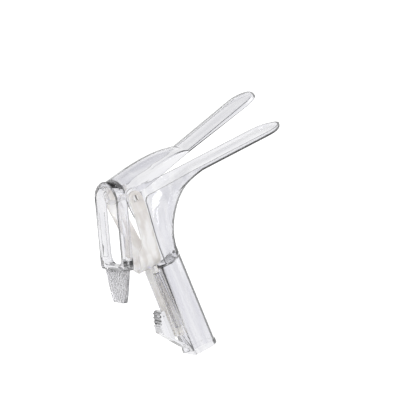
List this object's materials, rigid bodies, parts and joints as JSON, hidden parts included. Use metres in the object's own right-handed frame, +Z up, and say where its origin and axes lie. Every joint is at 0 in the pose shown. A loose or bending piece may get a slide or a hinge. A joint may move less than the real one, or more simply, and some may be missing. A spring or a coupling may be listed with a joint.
{
  "type": "bivalve speculum",
  "caption": "Clear plastic bivalve speculum: a lower blade in one piece with a hollow handle, a hinged upper blade with a thumb lever, and a ratcheted sliding yoke.",
  "frame": {"origin": "centre of the mouth of the hollow handle", "axes": "+Z up the handle, +X towards the blades' tips, +Y to the examiner's left"},
  "size_m": [0.1963, 0.0548, 0.1798],
  "materials": {
    "clear_polystyrene": "clear moulded polystyrene, glossy",
    "white_acetal": "translucent white moulding"
  },
  "bodies": {
    "handle": {"lower_jaw": "clear_polystyrene"},
    "yoke": {"slide_yoke": "white_acetal", "pivot_pin_left": "white_acetal", "pivot_pin_right": "white_acetal"},
    "upper_blade": {"upper_jaw": "clear_polystyrene"},
    "latch": {"release_latch": "clear_polystyrene"}
  },
  "joints": [
    {"name": "yoke_rise", "type": "slide", "parent": "handle", "child": "yoke", "axis": [0, 0, 1], "range_m": [0, 0.02]},
    {"name": "blade_tilt", "type": "hinge", "parent": "yoke", "child": "upper_blade", "pos_m": [-0.01475, 0, 0.1485], "axis": [0, -1, 0], "range_deg": [-12, 10.5]},
    {"name": "latch_press", "type": "hinge", "parent": "handle", "child": "latch", "pos_m": [-0.01445, 0, 0.0086], "axis": [0, -1, 0], "range_deg": [-1.6, 5], "stiffness_Nm_per_rad": 0.5}
  ]
}
